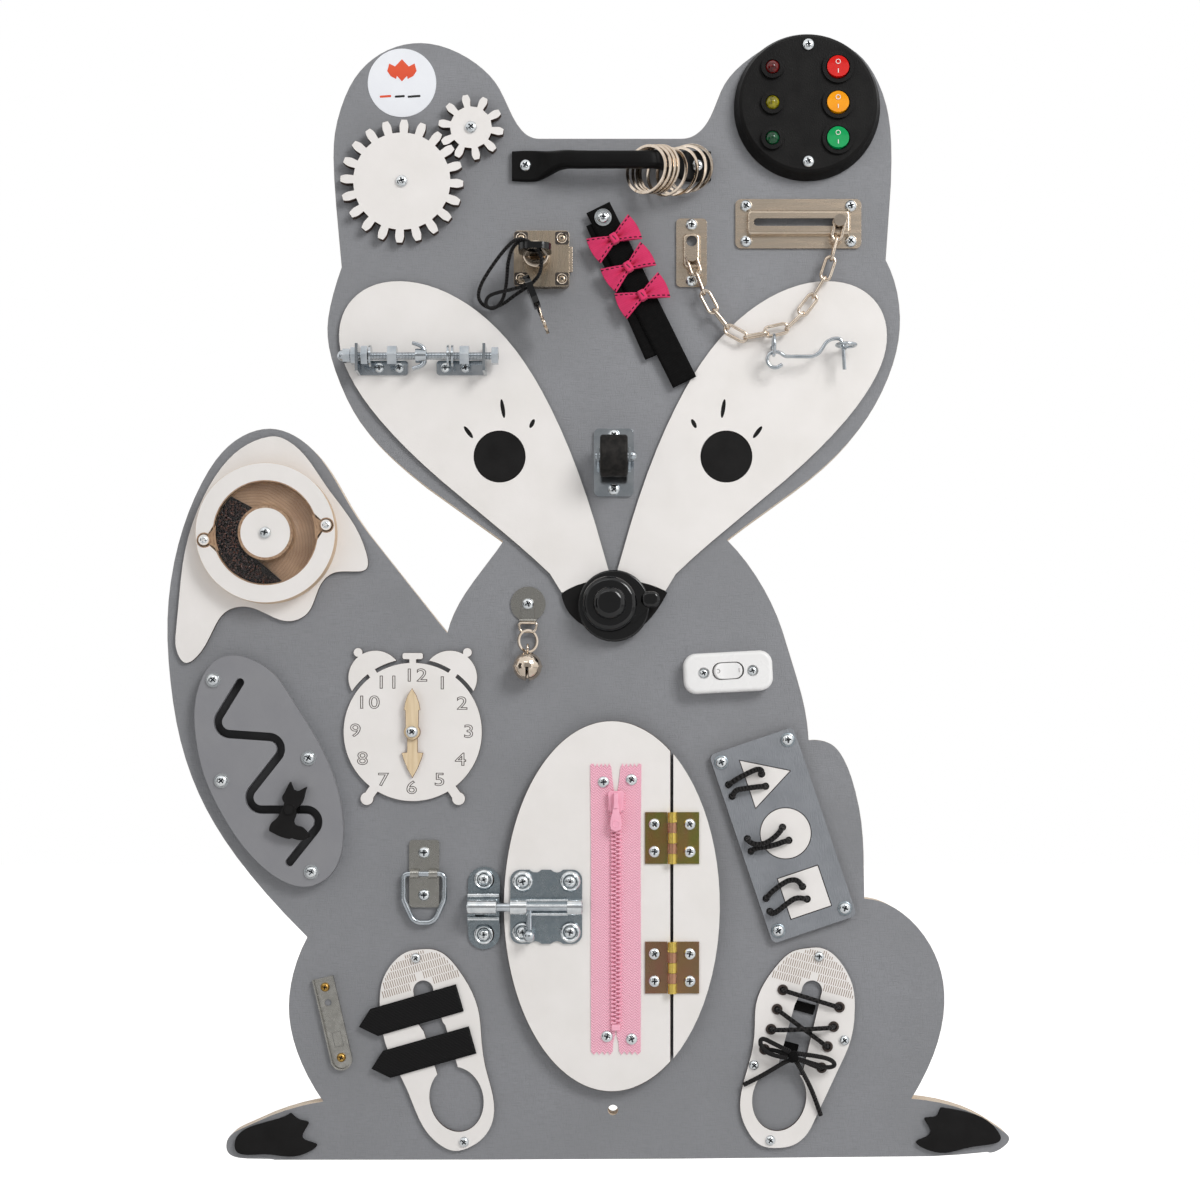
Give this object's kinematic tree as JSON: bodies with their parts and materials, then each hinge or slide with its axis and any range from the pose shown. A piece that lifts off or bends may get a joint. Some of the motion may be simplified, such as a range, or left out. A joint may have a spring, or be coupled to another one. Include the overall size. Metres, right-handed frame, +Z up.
{
  "type": "busy board",
  "caption": "Wall-hung plywood animal carrying gears, latches, lamps, lock, chain, bolt, clock, maze, bells, laces and a small door with a zip, all for small hands to work.",
  "frame": {"origin": "centre of the wall screw's hole, at the board's flat back", "axes": "+Z up the board, -Y out of its face, +X to the viewer's right"},
  "size_m": [0.5896, 0.063, 0.787],
  "materials": {
    "amber_plastic": "smooth",
    "bare_ply": "pale laser-cut plywood with dark edges",
    "black_gloss": "smooth",
    "black_paint": "matt black paint on thin plywood",
    "black_plastic": "fine-grained",
    "black_ribbon": "satin ribbon",
    "cells": "cell holder and cells",
    "clear_cover": "clear acrylic",
    "cord": "braided black cord",
    "green_plastic": "smooth",
    "grey_paint": "satin paint on plywood",
    "lens": "tinted, clear",
    "nickel": "warm nickel plate",
    "pink_ribbon": "grosgrain ribbon",
    "pink_tape": "woven tape",
    "red_plastic": "smooth",
    "seeds": "small dark brown seeds",
    "white_paint": "matt off-white paint on thin plywood",
    "white_plastic": "smooth",
    "yellow_zinc": "yellow passivated zinc",
    "zinc": "bright zinc plate"
  },
  "bodies": {
    "board": {"board": "grey_paint", "white_overlays": "white_paint", "black_overlays": "black_paint", "board_screws": "zinc", "light_box": "black_plastic", "lamp_lenses": "lens", "battery_pack": "cells", "pull_handle": "black_plastic", "lock_case": "nickel", "key_cord": "cord", "spare_key": "black_gloss", "bow_strap": "black_ribbon", "chain_plates": "nickel", "screw_eyes": "zinc", "rod_and_brackets": "zinc", "caster_frame": "zinc", "bell_body": "black_gloss", "maze_panel": "grey_paint", "clock_face": "white_paint", "steel_plates": "zinc", "cord_switch_case": "white_plastic", "lacing_panel": "grey_paint", "lacing_shapes": "white_paint", "lacing_cord": "cord", "shoe_lace": "cord", "bolt_keeper": "zinc", "hinge_frame_leaves": "yellow_zinc"},
    "door": {"door_panel": "white_paint", "hinge_door_leaves": "yellow_zinc", "zip_tape": "pink_tape", "bolt_plate": "zinc", "door_screws": "zinc"},
    "seed_wheel": {"seed_wheel": "white_paint", "seed_window": "clear_cover", "seeds": "seeds"},
    "chain_stud": {"chain_stud": "nickel", "chain_links": "nickel"},
    "large_gear": {"large_gear": "bare_ply"},
    "small_gear": {"small_gear": "bare_ply"},
    "bar_rings": {"bar_rings": "nickel"},
    "leg_rings": {"leg_rings": "nickel"},
    "rocker_red": {"rocker_red": "red_plastic"},
    "rocker_amber": {"rocker_amber": "amber_plastic"},
    "rocker_green": {"rocker_green": "green_plastic"},
    "lock_key": {"lock_key": "black_gloss"},
    "lock_bolt": {"lock_bolt": "nickel"},
    "ribbon_bows": {"ribbon_bows": "pink_ribbon"},
    "cabin_hook": {"cabin_hook": "zinc"},
    "wing_nut": {"wing_nut": "zinc"},
    "caster_wheel": {"caster_wheel": "black_plastic"},
    "bell_lever": {"bell_lever": "black_gloss"},
    "maze_figure": {"maze_figure": "black_paint"},
    "hour_hand": {"hour_hand": "bare_ply"},
    "minute_hand": {"minute_hand": "bare_ply"},
    "ring_loop": {"ring_loop": "zinc"},
    "jingle_bell": {"jingle_bell": "nickel"},
    "cord_switch_rocker": {"cord_switch_rocker": "white_plastic"},
    "shoe_straps": {"shoe_straps": "black_ribbon"},
    "bolt_rod": {"bolt_rod": "zinc"},
    "zip_slider": {"zip_slider": "pink_ribbon"}
  },
  "joints": [
    {"name": "large_gear_spin", "type": "hinge", "parent": "board", "child": "large_gear", "pos_m": [-0.1471, -0.022, 0.6482], "axis": [0, -1, 0], "continuous": true},
    {"name": "small_gear_spin", "type": "hinge", "parent": "board", "child": "small_gear", "pos_m": [-0.0989, -0.022, 0.6857], "axis": [0, -1, 0], "continuous": true},
    {"name": "bar_rings_slide", "type": "slide", "parent": "board", "child": "bar_rings", "axis": [-1, 0, 0], "range_m": [0, 0.045]},
    {"name": "leg_rings_slide", "type": "slide", "parent": "board", "child": "leg_rings", "axis": [-0.8051, -0.5931, 0], "range_m": [0, 0.006]},
    {"name": "rocker_red_tilt", "type": "hinge", "parent": "board", "child": "rocker_red", "pos_m": [0.1561, -0.0294, 0.7256], "axis": [1, 0, 0], "range_deg": [0, 14]},
    {"name": "rocker_amber_tilt", "type": "hinge", "parent": "board", "child": "rocker_amber", "pos_m": [0.1561, -0.0294, 0.701], "axis": [1, 0, 0], "range_deg": [0, 14]},
    {"name": "rocker_green_tilt", "type": "hinge", "parent": "board", "child": "rocker_green", "pos_m": [0.1561, -0.0294, 0.6764], "axis": [1, 0, 0], "range_deg": [0, 14]},
    {"name": "key_turn", "type": "hinge", "parent": "board", "child": "lock_key", "pos_m": [-0.0533, -0.04, 0.5945], "axis": [0, -1, 0], "range_deg": [0, 90]},
    {"name": "lock_bolt_throw", "type": "slide", "parent": "board", "child": "lock_bolt", "axis": [1, 0, 0], "range_m": [0, 0.008]},
    {"name": "bows_slide", "type": "slide", "parent": "board", "child": "ribbon_bows", "axis": [0.4446, 0, -0.8957], "range_m": [0, 0.045]},
    {"name": "chain_stud_slide", "type": "slide", "parent": "board", "child": "chain_stud", "axis": [-1, 0, 0], "range_m": [0, 0.056], "deforming": ["chain_links"]},
    {"name": "cabin_hook_lift", "type": "hinge", "parent": "board", "child": "cabin_hook", "pos_m": [0.1114, -0.033, 0.5253], "axis": [0, -1, 0], "range_deg": [0, 70]},
    {"name": "wing_nut_travel", "type": "slide", "parent": "board", "child": "wing_nut", "axis": [1, 0, 0], "range_m": [-0.01, 0.0125]},
    {"name": "caster_wheel_spin", "type": "hinge", "parent": "board", "child": "caster_wheel", "pos_m": [0.0006, -0.038, 0.455], "axis": [1, 0, 0], "continuous": true},
    {"name": "bell_lever_press", "type": "hinge", "parent": "board", "child": "bell_lever", "pos_m": [0.0135, -0.0279, 0.3445], "axis": [0, -1, 0], "range_deg": [0, 14], "stiffness_Nm_per_rad": 0.05},
    {"name": "seed_wheel_spin", "type": "hinge", "parent": "board", "child": "seed_wheel", "pos_m": [-0.2408, -0.0273, 0.4025], "axis": [0, -1, 0], "continuous": true},
    {"name": "maze_figure_slide", "type": "slide", "parent": "board", "child": "maze_figure", "axis": [1, 0, 0], "range_m": [-0.0198, 0.0102]},
    {"name": "hour_hand_turn", "type": "hinge", "parent": "board", "child": "hour_hand", "pos_m": [-0.1399, -0.0225, 0.2646], "axis": [0, -1, 0], "continuous": true},
    {"name": "minute_hand_turn", "type": "hinge", "parent": "board", "child": "minute_hand", "pos_m": [-0.1399, -0.0252, 0.2646], "axis": [0, -1, 0], "continuous": true},
    {"name": "tie_ring_swing", "type": "hinge", "parent": "board", "child": "ring_loop", "pos_m": [-0.132, -0.02215, 0.1655], "axis": [-1, 0, 0], "range_deg": [0, 170]},
    {"name": "jingle_bell_swing", "type": "hinge", "parent": "board", "child": "jingle_bell", "pos_m": [-0.0594, -0.023, 0.3425], "axis": [-1, 0, 0], "range_deg": [0, 100]},
    {"name": "cord_switch_tilt", "type": "hinge", "parent": "board", "child": "cord_switch_rocker", "pos_m": [0.08, -0.0295, 0.307], "axis": [0.0523, 0, -0.9986], "range_deg": [0, 12]},
    {"name": "shoe_straps_open", "type": "hinge", "parent": "board", "child": "shoe_straps", "pos_m": [-0.1069, -0.0229, 0.0791], "axis": [-0.29, 0, 0.957], "range_deg": [0, 150]},
    {"name": "door_swing", "type": "hinge", "parent": "board", "child": "door", "pos_m": [0.0411, -0.0296, 0.143], "axis": [0, 0, 1], "range_deg": [0, 105]},
    {"name": "bolt_rod_slide", "type": "slide", "parent": "door", "child": "bolt_rod", "axis": [1, 0, 0], "range_m": [-0.0071, 0.016]},
    {"name": "zip_slide", "type": "slide", "parent": "door", "child": "zip_slider", "axis": [0, 0, -1], "range_m": [0, 0.135]}
  ],
  "couplings": [
    {"joint": "small_gear_spin", "follows": "large_gear_spin", "ratio": -2},
    {"joint": "lock_bolt_throw", "follows": "key_turn", "m_per_rad": 0.005093}
  ]
}
